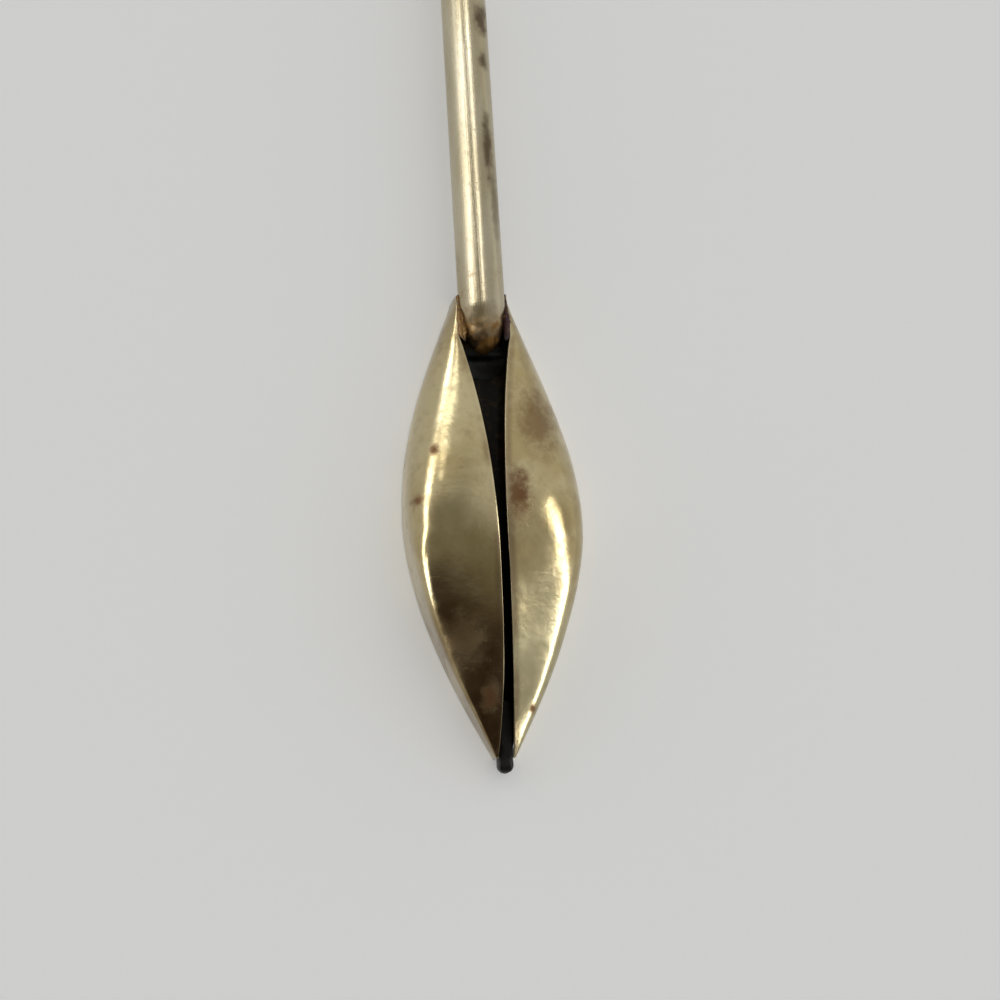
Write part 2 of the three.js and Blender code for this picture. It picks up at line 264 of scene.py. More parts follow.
class NodeSketch:
    """Short way to lay out the nodes of a shader or a shape."""

    least: float = 0.012

    def __init__(self, tree: bpy.types.NodeTree) -> None:
        """Work on one node tree."""
        self.tree = tree

    def feed(self, node: bpy.types.Node, feeds: dict) -> None:
        """Feed a node's inputs.

        Args:
            node: node of the tree.
            feeds: value or output socket for each input, by name or number.
        """
        for key, value in feeds.items():
            if isinstance(value, Wire):
                self.tree.links.new(value, node.inputs[key])
            else:
                node.inputs[key].default_value = value

    def add(self, kind: str, feeds: dict | None = None, **settings: object) -> bpy.types.Node:
        """Add a node, set it up and feed its inputs.

        Args:
            kind: node type.
            feeds: value or output socket for each input, by name or number.
            settings: node properties.

        Returns:
            The new node.
        """
        node = self.tree.nodes.new(kind)
        for name, value in settings.items():
            setattr(node, name, value)
        self.feed(node, feeds or {})
        return node

    def out(self, kind: str, feeds: dict, **settings: object) -> Wire:
        """First output of a new node."""
        return self.add(kind, feeds, **settings).outputs[0]

    def math(self, operation: str, *values: object, clamp: bool = False) -> Wire:
        """Result of one arithmetic step on numbers or sockets."""
        feeds = dict(enumerate(values))
        return self.out("ShaderNodeMath", feeds, operation=operation, use_clamp=clamp)

    def times(self, first: object, second: object) -> Wire:
        """Product of two numbers or sockets."""
        return self.math("MULTIPLY", first, second)

    def most(self, first: object, second: object) -> Wire:
        """Greater of two numbers or sockets."""
        return self.math("MAXIMUM", first, second)

    def minus(self, first: object, second: object, clamp: bool = False) -> Wire:
        """Difference of two numbers or sockets."""
        return self.math("SUBTRACT", first, second, clamp=clamp)

    def plus(self, value: object, gain: float, ground: object, clamp: bool = False) -> Wire:
        """Ground value with the gain of another added to it."""
        return self.math("MULTIPLY_ADD", value, gain, ground, clamp=clamp)

    def vector(self, operation: str, *values: object) -> Wire:
        """Result of one vector step on vectors or sockets."""
        node = self.add("ShaderNodeVectorMath", dict(enumerate(values)), operation=operation)
        return node.outputs["Value" if operation == "LENGTH" else "Vector"]

    def split(self, place: object) -> list[Wire]:
        """X, Y and Z of a place."""
        return self.add("ShaderNodeSeparateXYZ", {0: place}).outputs[:3]

    def span(
        self, value: object, first: float, last: float, low: float = 0.0, high: float = 1.0
    ) -> Wire:
        """Smooth change from `low` to `high` while a value goes from `first` to `last`."""
        feeds = {0: value, 1: first, 2: last, 3: low, 4: high}
        return self.out("ShaderNodeMapRange", feeds, interpolation_type="SMOOTHSTEP")

    def noise(
        self, place: object, scale: float, detail: float = 2.0, roughness: float = 0.5
    ) -> Wire:
        """Soft random value at a place."""
        feeds = {"Vector": place, "Scale": scale, "Detail": detail, "Roughness": roughness}
        return self.out("ShaderNodeTexNoise", feeds)

    def blend(self, share: object, first: object, second: object) -> Wire:
        """Colour between two colours."""
        feeds = {0: share, 6: first, 7: second}
        return self.add("ShaderNodeMix", feeds, data_type="RGBA").outputs[2]

    def coats(self, colour: object, *coats: tuple[object, Colour]) -> Wire:
        """Lay coats of colour over each other.

        Args:
            colour: colour of the ground.
            coats: share and colour of each coat.

        Returns:
            The colour on top.
        """
        for share, coat in coats:
            colour = self.blend(share, colour, linear(coat))
        return colour

    def ramps(self, values: tuple[object, ...], ramps: Ramps, product: object = None) -> Wire:
        """Multiply values, each brought through a ramp of its own.

        Args:
            values: values that go through the ramps.
            ramps: first, last and where needed low and high of each value's span.
            product: value that they multiply, if any.

        Returns:
            Product of all.
        """
        for value, ramp in zip(values, ramps):
            level = self.span(value, *ramp)
            product = level if product is None else self.times(product, level)
        return product

    def mark(self, name: str) -> Wire:
        """Value of a mesh attribute."""
        return self.add("ShaderNodeAttribute", attribute_name=name).outputs["Fac"]

    def quarter_round(self, distance: object, length: object) -> Wire:
        """Rise along a quarter ellipse, from just over 0 to 1, over a length."""
        left = self.minus(1.0, self.math("DIVIDE", distance, length, clamp=True), clamp=True)
        return self.most(self.math("SQRT", self.minus(1.0, self.times(left, left))), self.least)


@dataclass(frozen=True)
class LeafForm:
    """Curves that the half leaves, the channel and the braze share, in mm from the neck on.

    Spans and the first numbers of bends are shares of the leaf's length.
    """

    neck_y: float
    length: float
    half_width: float
    height: float
    rod_radius: float
    rod_height: float
    rod_lift: float = 1.4
    film: float = 0.12
    sheet: float = 0.7
    neck_point: float = 0.3
    neck_wall_share: float = 0.75
    tip_half_width: float = 1.15
    tip_height: float = 2.6
    rim_bends: tuple[Span, ...] = ((0.12, 0.55), (0.275, 1), (0.48, 1), (0.65, 1), (0.81, 0.64))
    crown_bends: tuple[Span, ...] = ((0.14, 0.5), (0.34, 1), (0.56, 1), (0.76, 1), (0.91, 0.65))
    slit_half: float = 0.39
    slit_tip_half: float = 0.8
    slit_sweep: float = 2.1
    slit_flare: int = 3
    slit_closed: float = 0.56
    slit_opens: float = 0.62
    nose_middle: float = 4.8
    squareness_gain: float = 5.0
    squareness_span: Span = (0.2, 0.85)
    tight: float = 0.0
    tight_span: Span = (0.5, 0.68)
    keel_slope: float = 0.4
    keel_span: Span = (0.45, 0.85)
    arc_points: int = 240

    @classmethod
    def from_frame(cls) -> "LeafForm":
        """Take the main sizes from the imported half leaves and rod.

        Returns:
            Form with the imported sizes.
        """
        low, high = (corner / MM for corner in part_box("right_leaf"))
        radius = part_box("handle_stem")[1].x / MM
        return cls(
            neck_y=high.y,
            length=high.y - low.y,
            half_width=high.x,
            height=high.z,
            rod_radius=radius,
            rod_height=radius + cls.rod_lift,
        )

    @property
    def seat(self) -> float:
        """Half width of the slit where it holds the rod."""
        return self.rod_radius + self.film

    def over(self, along: Array, span: Span) -> Array:
        """Smooth step from 0 to 1 between two shares of the length."""
        return ease(along, span[0] * self.length, span[1] * self.length)

    def sweep(
        self, along: Array, first: float, bends: tuple[Span, ...], size: float, last: float
    ) -> Array:
        """Read a curve that runs from the neck to the tip.

        Args:
            along: distance from the neck in mm.
            first: value at the neck in mm.
            bends: points between, as shares of the length and of the size.
            size: size in mm that the bends are shares of.
            last: value at the tip in mm.

        Returns:
            Value at each distance in mm.
        """
        between = [(share * self.length, part * size) for share, part in bends]
        curve = bend([(0, first), *between, (self.length, last)])
        return np.interp(along, curve[:, 0], curve[:, 1])

    def rim(self, along: Array) -> Array:
        """Half width of the outline."""
        start = self.seat + self.neck_point
        return self.sweep(along, start, self.rim_bends, self.half_width, self.tip_half_width)

    def crown(self, along: Array) -> Array:
        """Height of the sheet's top at the slit."""
        return self.sweep(along, self.rod_height, self.crown_bends, self.height, self.tip_height)

    def slit(self, along: Array) -> Array:
        """Give half the gap of the slit, wide at the neck and a little open at the tip.

        Args:
            along: distance from the neck in mm.

        Returns:
            Half the gap in mm.
        """
        closed, opens = self.slit_closed * self.length, self.slit_opens * self.length
        to_neck = np.clip((closed - along) / (closed - self.nose_middle), 0, 1)
        to_tip = np.clip((along - opens) / (self.length - opens), 0, 1)
        neck = (self.seat - self.slit_half) * to_neck ** self.slit_sweep
        tip = (self.slit_tip_half - self.slit_half) * to_tip ** self.slit_flare
        return self.slit_half + neck + tip

    def squareness(self, along: Array) -> Array:
        """How square the shoulder is, from 2 for a plain ellipse."""
        square = 2.0 + self.squareness_gain * self.over(along, self.squareness_span)
        return square + self.tight * self.over(along, self.tight_span)

    def rise(self, along: Array, share: Array) -> Array:
        """Give the sheet's height, with a round shoulder and a straight keel toward the tip.

        Args:
            along: distance from the neck in mm.
            share: share of the way from the slit to the rim.

        Returns:
            Share of the crown's height.
        """
        squareness = self.squareness(along)
        slope = self.keel_slope * self.over(along, self.keel_span)
        keel = slope * (self.rim(along) - self.slit(along)) / self.crown(along)
        shoulder = np.maximum(1 - share ** squareness, 0) ** (1 / squareness)
        return (1 - keel) * shoulder + keel * (1 - share)

    def arc(self, along: float, width: float, height: float) -> Array:
        """Points (across from the slit, height) of the sheet's face, from the rim to the slit."""
        share = np.cos(np.linspace(0, math.pi / 2, self.arc_points)) ** (2 / self.squareness(along))
        return np.column_stack((width * share, height * self.rise(along, share)))

    def wall(self, along: Array) -> Array:
        """Sheet thickness at the rim, thinner in the narrow points."""
        return np.minimum(self.sheet, (self.rim(along) - self.slit(along)) * self.neck_wall_share)

    def underside(self, along: Array, across: Array) -> Array:
        """Give the height of the sheet's lower face.

        Args:
            along: distance from the neck in mm.
            across: distance from the middle in mm.

        Returns:
            Height in mm.
        """
        inner = self.slit(along)
        share = np.clip((across - inner) / (self.rim(along) - self.wall(along) - inner), 0, 1)
        return (self.crown(along) - self.sheet) * self.rise(along, share)

    def place(self, along: float, section: Array) -> Array:
        """Points of a cross-section, set at their distance from the neck."""
        level = np.full(len(section), self.neck_y - along)
        return np.column_stack((section[:, 0], level, section[:, 1]))


def hand_over(piece: Piece, node: str, slot: Slot, material: Material) -> None:
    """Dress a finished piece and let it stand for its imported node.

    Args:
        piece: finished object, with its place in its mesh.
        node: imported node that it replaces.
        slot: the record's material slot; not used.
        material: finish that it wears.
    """
    piece.data.materials.clear()
    piece.data.materials.append(material)
    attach(piece, "root")
    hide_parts(node)
    LOG.info("%s stands for %s with %d faces", piece.name, node, len(piece.data.polygons))


class ShapeTree:
    """Geometry node tree with named inputs that grows a tube along a path."""

    def __init__(self, name: str, inputs: dict[str, Socket]) -> None:
        """Start the tree.

        Args:
            name: name of the tree.
            inputs: kind of each named input, beside the rings, sides and material of every tube.
        """
        common = {"Rings": Socket.WHOLE, "Sides": Socket.WHOLE, "Material": Socket.MATERIAL}
        sockets = [("Geometry", "INPUT", Socket.GEOMETRY)]
        sockets += [(label, "INPUT", kind) for label, kind in (inputs | common).items()]
        sockets.append(("Geometry", "OUTPUT", Socket.GEOMETRY))
        self.tree = bpy.data.node_groups.new(name, "GeometryNodeTree")
        for label, way, kind in sockets:
            self.tree.interface.new_socket(label, in_out=way, socket_type=kind.value)
        self.sketch = NodeSketch(self.tree)
        self.given = self.sketch.add("NodeGroupInput").outputs

    def rings(self, path: Wire) -> Wire:
        """Path with as many even points as the tube has rings."""
        feeds = {"Curve": path, "Count": self.given["Rings"]}
        return self.sketch.out("GeometryNodeResampleCurve", feeds)

    def sweep(self, path: Wire, radius: Wire) -> None:
        """End the tree with a smooth, realized and dressed tube.

        Args:
            path: curve that the tube follows.
            radius: the tube's radius at each point of the path.
        """
        sketch = self.sketch
        feeds = {"Resolution": self.given["Sides"], "Radius": 1.0}
        circle = sketch.out("GeometryNodeCurvePrimitiveCircle", feeds)
        feeds = {"Curve": path, "Profile Curve": circle, "Scale": radius, "Fill Caps": True}
        tube = sketch.out("GeometryNodeCurveToMesh", feeds)
        smooth = sketch.out("GeometryNodeSetShadeSmooth", {"Geometry": tube})
        real = sketch.out("GeometryNodeRealizeInstances", {"Geometry": smooth})
        feeds = {"Geometry": real, "Material": self.given["Material"]}
        dressed = sketch.out("GeometryNodeSetMaterial", feeds)
        sketch.add("NodeGroupOutput", {"Geometry": dressed})

    def grow(self, name: str, base: bpy.types.Mesh, values: dict[str, object]) -> Piece:
        """Grow a piece and keep it as a plain mesh.

        Args:
            name: name of the new object.
            base: mesh that the tree starts from.
            values: value of each named input.

        Returns:
            New object with a plain mesh.
        """
        start = link(bpy.data.objects.new(f"{name} base", base))
        grower = start.modifiers.new(name, "NODES")
        grower.node_group = self.tree
        for item in self.tree.interface.items_tree:
            if item.in_out == "INPUT" and item.name in values:
                grower[item.identifier] = values[item.name]
        graph = bpy.context.evaluated_depsgraph_get()
        mesh = bpy.data.meshes.new_from_object(start.evaluated_get(graph), depsgraph=graph)
        mesh.name = name
        bpy.data.objects.remove(start)
        return link(bpy.data.objects.new(name, mesh))


@dataclass(frozen=True)
class HalfLeaf:
    """One puffed half of the leaf, pressed from sheet, with rounded cut edges."""

    shared_form: LeafForm
    side: Side
    left_tight: float = 8.0
    stations: int = 180
    crowding: float = 0.09
    outer_points: int = 60
    inner_points: int = 36
    edge_round: float = 0.2
    edge_round_share: float = 0.35
    edge_reach: float = 0.3
    lip_roll: float = 0.04
    lip_reach: float = 0.55
    lip_limit: float = 0.5
    lip_begins: Span = (6.0, 16.0)
    lip_ends: Span = (0.86, 1.0)
    dents: tuple[Span, ...] = ((0.12, 7.0), (0.03, 2.4))
    seed: float = 3.0

    @property
    def form(self) -> LeafForm:
        """Form of this half, with a tighter shoulder on the left."""
        tight = self.left_tight if self.side is Side.LEFT else self.shared_form.tight
        return replace(self.shared_form, tight=tight)

    def section(self, along: float) -> tuple[Array, dict[str, Array]]:
        """Trace the sheet's closed cross-section, from the rim to the slit and back inside.

        Args:
            along: distance from the neck in mm.

        Returns:
            Points (across, height) in mm, and marks: inside, edge and distance from the slit.
        """
        form = self.form
        inner, outer, crown = (float(size(along)) for size in (form.slit, form.rim, form.crown))
        wall, low = float(form.wall(along)), crown - form.sheet
        turn = min(self.edge_round, self.edge_round_share * wall)
        top = form.arc(along, outer - inner, crown) + (inner, 0)
        under = form.arc(along, outer - inner - wall, low) + (inner, 0)
        top = even_points(top, turn, self.outer_points)
        under = even_points(under, turn, self.inner_points)[::-1]
        slit_edge = np.array([(inner, crown - turn), (inner, low + turn)])
        rim_edge = np.array([(outer - wall + turn, 0), (outer - turn, 0)])
        rim_corner = rounded(rim_edge[1], (outer, 0), top[0])
        parts = [
            (top, 0),
            (rounded(top[-1], (inner, crown), slit_edge[0]), 0),
            (slit_edge, 0.5),
            (rounded(slit_edge[1], (inner, low), under[0]), 1),
            (under, 1),
            (rounded(under[-1], (outer - wall, 0), rim_edge[0]), 1),
            (rim_edge, 0.5),
            (rim_corner, 0),
        ]
        points = np.vstack([part for part, _ in parts])
        inside = np.concatenate([np.full(len(part), level) for part, level in parts])
        fade = ease(along, *self.lip_begins) * (1 - form.over(along, self.lip_ends))
        roll = self.lip_roll * fade * np.exp(-((points[:, 0] - inner) / self.lip_reach) ** 2)
        points[:, 1] -= np.minimum(roll, self.lip_limit * points[:, 1])
        from_rim = np.linspace(0, np.linalg.norm(np.diff(top, axis=0), axis=1).sum(), len(top))
        edge = np.ones(len(points))
        edge[:len(top)] = np.exp(-np.minimum(from_rim, from_rim[::-1]) / self.edge_reach)
        gap = np.zeros(len(points))
        gap[:len(top)] = from_rim[::-1]
        gap[-len(rim_corner) - len(rim_edge):] = from_rim[-1]
        return points, {"inside": inside, "edge": edge, "slit_gap": gap}

    def build(self) -> Piece:
        """Loft the half leaf and press soft dents into it.

        Returns:
            The half leaf.
        """
        form, sign = self.form, self.side.value
        share = np.linspace(0, 1, self.stations)
        stops = form.length * (share - self.crowding * np.sin(2 * math.pi * share))
        cuts = [self.section(along) for along in stops]
        loops = [
            form.place(along, points * (sign, 1))[::sign]
            for along, (points, _) in zip(stops, cuts)
        ]
        marks = {name: np.array([cut[1][name][::sign] for cut in cuts]) for name in cuts[0][1]}
        piece = loft(f"{self.side.word}_half_leaf", np.array(loops), marks)
        for depth, size in self.dents:
            hollow(piece, depth, size, self.seed * sign)
        return piece


@dataclass(frozen=True)
class HandleRod:
    """Round handle rod, slightly tapered, with an uneven pointed nose and a rounded far end."""

    form: LeafForm
    end_radius: float = 2.3
    end_gap: float = 0.02
    nose: float = 4.0
    nose_reach: float = 0.9
    nose_power: float = 1.15
    nose_dents: tuple[Span, ...] = ((0.45, 1.5), (0.2, 0.6))
    dents_before_neck: float = 1.5
    rounding: float = 0.7
    rings: int = 320
    sides: int = 72
    seed: float = 7.0

    def tree(self) -> ShapeTree:
        """Lay out the tree that sweeps a circle from the nose to the far end.

        Returns:
            The tree, with the rod's ends and sizes in metres as its inputs.
        """
        sizes = ("Length", "Radius", "End Radius", "Nose", "Rounding")
        ends = {"Start": Socket.VECTOR, "End": Socket.VECTOR}
        shape = ShapeTree("tapered rod", ends | dict.fromkeys(sizes, Socket.NUMBER))
        sketch, given = shape.sketch, shape.given
        feeds = {"Start": given["Start"], "End": given["End"]}
        line = shape.rings(sketch.out("GeometryNodeCurvePrimitiveLine", feeds))
        ring = sketch.add("GeometryNodeSplineParameter").outputs["Index"]
        share = sketch.math("DIVIDE", ring, sketch.minus(given["Rings"], 1.0))
        share = sketch.span(share, 0.0, 1.0)
        feeds = {0: share, 4: given["Start"], 5: given["End"]}
        place = sketch.add("ShaderNodeMix", feeds, data_type="VECTOR").outputs[1]
        line = sketch.out("GeometryNodeSetPosition", {"Geometry": line, "Position": place})
        from_nose = sketch.times(share, given["Length"])
        from_end = sketch.minus(given["Length"], from_nose)
        feeds = {0: share, 2: given["Radius"], 3: given["End Radius"]}
        plain = sketch.out("ShaderNodeMix", feeds)
        bullet = sketch.quarter_round(from_nose, given["Nose"])
        bullet = sketch.math("POWER", bullet, self.nose_power)
        corner = sketch.minus(1.0, sketch.quarter_round(from_end, given["Rounding"]))
        radius = sketch.times(plain, bullet)
        shape.sweep(line, sketch.minus(radius, sketch.times(corner, given["Rounding"])))
        return shape

    def build(self, material: Material) -> Piece:
        """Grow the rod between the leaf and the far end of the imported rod.

        Args:
            material: finish of the rod.

        Returns:
            The rod.
        """
        form = self.form
        low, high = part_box("handle_stem")
        start = Vector((0, low.y - self.nose_reach * MM, form.rod_height * MM))
        end = Vector((0, high.y - self.end_gap * MM, self.end_radius * MM))
        piece = self.tree().grow("handle_rod", bpy.data.meshes.new("rod base"), {
            "Start": start, "End": end, "Length": (end - start).length,
            "Radius": form.rod_radius * MM, "End Radius": self.end_radius * MM,
            "Nose": self.nose * MM, "Rounding": self.rounding * MM,
            "Rings": self.rings, "Sides": self.sides, "Material": material,
        })
        for depth, size in self.nose_dents:
            hollow(piece, depth, size, self.seed, form.neck_y - self.dents_before_neck)
        return piece


@dataclass(frozen=True)
class MidribChannel:
    """Folded strip under the slit that ties the half leaves together."""

    form: LeafForm
    sheet: float = 0.5
    depth: float = 3.0
    overhang: float = 0.45
    squareness: float = 4.0
    floor_clearance: float = 0.35
    lip_room: float = 0.12
    under_nose: float = 2.4
    rim_room: float = 0.35
    nub_start: float = 46.0
    stations: int = 110
    traced_points: int = 400
    arc_points: int = 44

    def half_width(self, along: Array) -> Array:
        """Half the channel's outside width, held between the half leaves' walls at the neck."""
        wanted = self.form.slit(along) + self.overhang + self.sheet
        return np.minimum(wanted, self.form.rim(along) - self.form.wall(along) - self.rim_room)

    def top(self, along: Array) -> Array:
        """Height of the walls' upper ends."""
        below = self.form.underside(along, self.half_width(along))
        return below - self.form.film - self.lip_room

    def floor(self, along: Array) -> Array:
        """Height of the channel's floor."""
        return np.maximum(self.top(along) - self.depth, self.sheet + self.floor_clearance)

    def sizes(self, along: float) -> tuple[float, float, float]:
        """Half the outside width, the height of the walls' ends and that of the floor."""
        return float(self.half_width(along)), float(self.top(along)), float(self.floor(along))

    def build(self) -> Piece:
        """Loft the folded strip.

        Returns:
            The channel.
        """
        form = self.form
        angles = np.linspace(math.pi, 2 * math.pi, self.traced_points)
        first, last = form.nose_middle - self.under_nose, self.nub_start - form.film
        loops = []
        for along in np.linspace(first, last, self.stations):
            wide, top, floor = self.sizes(along)
            outer = squared_arc(angles, wide, top - floor + self.sheet, self.squareness)
            inner = squared_arc(angles, wide - self.sheet, top - floor, self.squareness)
            outer = even_points(outer, 0, self.arc_points)
            inner = even_points(inner, 0, self.arc_points)[::-1]
            loops.append(form.place(along, np.vstack((outer, inner)) + (0, top)))
        return loft("folded_midrib", np.array(loops))


@dataclass(frozen=True)
class BrazeBeads:
    """Beads of filler metal between the rod, the half leaves and the channel."""

    form: LeafForm
    channel: MidribChannel
    sides: int = 20
    seed: float = 4.0
    lump_size: float = 0.8
    lump_ramp: Ramp = (0.3, 0.7, 0.66, 1.0)
    neck_radius: float = 0.55
    neck_length: float = 5.6
    neck_lean: float = 0.22
    neck_lean_start: float = 0.4
    neck_thin: float = 0.4
    neck_swells: Span = (0.1, 0.6)
    neck_fade: float = 0.6
    neck_fades: Span = (0.78, 1.0)
    neck_points: int = 60
    neck_rings: int = 120
    neck_end_share: float = 0.1
    seam_radius: float = 0.3
    seam_span: Span = (8.5, 42.5)
    seam_points: int = 120
    seam_rings: int = 220
    seam_end_share: float = 0.04

    def tree(self) -> ShapeTree:
        """Lay out the tree that lays a lumpy bead along a path.

        Returns:
            The tree, with the bead's sizes in metres as its inputs.
        """
        sizes = ("Radius", "End Share", "Lump Size", "Seed")
        shape = ShapeTree("braze bead", dict.fromkeys(sizes, Socket.NUMBER))
        sketch, given = shape.sketch, shape.given
        path = shape.rings(sketch.out("GeometryNodeMeshToCurve", {"Mesh": given["Geometry"]}))
        share = sketch.add("GeometryNodeSplineParameter").outputs["Factor"]
        nearest = sketch.math("MINIMUM", share, sketch.minus(1.0, share))
        ends = sketch.quarter_round(nearest, given["End Share"])
        swell = sketch.out("GeometryNodeInputNamedAttribute", {"Name": "swell"})
        place = sketch.out("GeometryNodeInputPosition", {})
        place = sketch.vector("DIVIDE", place, given["Lump Size"])
        feeds = {"Vector": place, "W": given["Seed"], "Scale": 1.0, "Detail": 2.0}
        lumps = sketch.out("ShaderNodeTexNoise", feeds, noise_dimensions="4D")
        swell = sketch.times(sketch.times(ends, swell), sketch.span(lumps, *self.lump_ramp))
        shape.sweep(path, sketch.times(swell, given["Radius"]))
        return shape

    def path(self, along: Array, across: Array, height: Array, swell: Array) -> bpy.types.Mesh:
        """Lay joined points that a bead follows.

        Args:
            along: distance of the points from the neck in mm.
            across: X of the points in mm.
            height: Z of the points in mm.
            swell: share of the bead's radius at the points.

        Returns:
            Mesh of the points and the edges between them.
        """
        mesh = bpy.data.meshes.new("bead path")
        points = np.column_stack((across, self.form.neck_y - along, height)) * MM
        edges = [(first, first + 1) for first in range(len(points) - 1)]
        mesh.from_pydata(points.tolist(), edges, [])
        note_values(mesh, "swell", swell)
        return mesh

    def neck_path(self, side: Side) -> bpy.types.Mesh:
        """Lay the path in the corner between the rod and a half leaf's upper point.

        Args:
            side: half of the leaf.

        Returns:
            Mesh of the path.
        """
        form, thin = self.form, self.neck_thin
        along = np.linspace(0, self.neck_length, self.neck_points)
        share = along / self.neck_length
        lean = self.neck_lean * (self.neck_lean_start + share)
        swell = thin + (1 - thin) * ease(share, *self.neck_swells)
        swell *= 1 - self.neck_fade * ease(share, *self.neck_fades)
        height = form.crown(along) + form.film * (1 - share)
        return self.path(along, side.value * (form.slit(along) - lean), height, swell)

    def seam_path(self, side: Side) -> bpy.types.Mesh:
        """Lay the path in the corner between the channel's wall and a half leaf's lower face.

        Args:
            side: half of the leaf.

        Returns:
            Mesh of the path.
        """
        form, radius = self.form, self.seam_radius
        along = np.linspace(*self.seam_span, self.seam_points)
        wall = self.channel.half_width(along) + form.film
        height = form.underside(along, wall + 2 * radius) - form.film - radius
        return self.path(along, side.value * (wall + radius), height, np.ones(len(along)))

    def build(self, material: Material) -> dict[str, Piece]:
        """Lay the four beads.

        Args:
            material: finish of the filler metal.

        Returns:
            The beads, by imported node.
        """
        tree = self.tree()
        kinds = (
            ("neck", self.neck_path, self.neck_radius, self.neck_rings, self.neck_end_share),
            ("seam", self.seam_path, self.seam_radius, self.seam_rings, self.seam_end_share),
        )
        beads = {}
        for side in Side:
            for kind, path, radius, rings, end in kinds:
                name = f"{side.word}_{kind}"
                beads[f"{name}_braze"] = tree.grow(f"{name}_bead", path(side), {
                    "Radius": radius * MM, "End Share": end, "Lump Size": self.lump_size * MM,
                    "Seed": self.seed + side.value, "Rings": rings,
                    "Sides": self.sides, "Material": material,
                })
        return beads


@dataclass(frozen=True)
class EndPool:
    """Pool of filler metal that lies in the channel at the rod's end."""

    form: LeafForm
    channel: MidribChannel
    span: Span = (4.4, 9.4)
    shares: Span = (0.004, 0.996)
    height: float = 1.1
    sag: float = 0.2
    film: float = 0.05
    stations: int = 60
    points: int = 33
    dents: Point = (0.05, 0.8, 9.0)

    def build(self) -> Piece:
        """Loft the pool of filler that lies in the channel at the rod's end.

        Returns:
            The pool.
        """
        first, last = self.span
        power = self.channel.squareness
        loops = []
        for share in np.linspace(*self.shares, self.stations):
            along = first + share * (last - first)
            level = self.height * math.sin(math.pi * share) ** 2
            wide, top, floor = self.channel.sizes(along)
            wide, floor = wide - self.channel.sheet, floor + self.film
            left = 1 - level / (top - floor)
            edge = wide * (1 - left ** power) ** (1 / power)
            across = np.linspace(-edge, edge, self.points)
            bed = top - (top - floor) * (1 - np.abs(across / wide) ** power) ** (1 / power)
            skin = floor + level * (1 - self.sag * (1 - (across / edge) ** 2))
            lower, upper = np.column_stack((across, bed)), np.column_stack((across, skin))
            loops.append(self.form.place(along, np.vstack((lower, upper[-2:0:-1]))))
        piece = loft("stem_end_pool", np.array(loops))
        hollow(piece, *self.dents)
        return piece


@dataclass(frozen=True)
class TipNub:
    """Nub of filler metal that closes the halves at the leaf's tip."""

    form: LeafForm
    channel: MidribChannel
    overhang: float = 1.6
    half_width: float = 0.88
    rounding: float = 0.9
    least_end: float = 0.002
    end_gap: float = 0.004
    squareness: float = 5.0
    set_down: float = 0.2
    sunk: float = 1.6
    lap: float = 1.4
    fused: float = 0.6
    fused_least: float = 0.05
    fused_within: Span = (1.0, 0.5)
    in_channel: float = 0.2
    off_floor: float = 0.35
    stations: int = 90
    points: int = 56
    dents: Point = (0.1, 0.8, 5.0)

    def sizes(self, along: float) -> tuple[float, float, float]:
        """Give the nub's sizes before its ends are rounded.

        Args:
            along: distance from the neck in mm.

        Returns:
            Half width, top and bottom in mm.
        """
        form, start = self.form, self.channel.nub_start
        after, before = self.fused_within
        fused = 1 - ease(along, start + after, form.length - before)
        lap = self.fused_least + self.fused * float(fused)
        bottom = self.set_down
        if along < start - form.film / 2:
            lap = self.in_channel
            bottom = float(self.channel.floor(along)) + self.off_floor
        wide = float(form.slit(along)) + lap if along < form.length else self.half_width
        top = float(form.crown(min(along, form.length))) - self.set_down
        top -= self.sunk * float(1 - ease(along, start, form.length))
        return wide, top, bottom

    def build(self) -> Piece:
        """Loft the nub that closes the halves at the leaf's tip.

        Returns:
            The nub.
        """
        first = self.channel.nub_start - self.lap
        last = self.form.length + self.overhang
        angles = np.linspace(0, 2 * math.pi, self.points + 1)[:-1]
        loops = []
        for along in np.linspace(first, last - self.end_gap, self.stations):
            nearest = min(along - first, last - along) / self.rounding
            swell = math.sqrt(max(1 - (1 - min(nearest, 1.0)) ** 2, self.least_end))
            wide, top, bottom = self.sizes(along)
            middle = (top + bottom) / 2
            height = swell * (top - middle)
            points = squared_arc(angles, swell * wide, height, self.squareness) + (0, middle)
            loops.append(self.form.place(along, points))
        piece = loft("tip_nub", np.array(loops))
        hollow(piece, *self.dents)
        return piece


@dataclass(frozen=True)
class Stain:
    """Brown spot on the metal: its place in mm, its reach across and along, and its darkness."""

    across: float
    along: float
    reach: Span
    dark: float


@dataclass(frozen=True)
class Pattern:
    """Soft random pattern: features for each mm, detail, roughness and the ramp of its levels."""

    scale: float
    detail: float
    roughness: float
    ramp: Ramp = (0.0, 1.0)


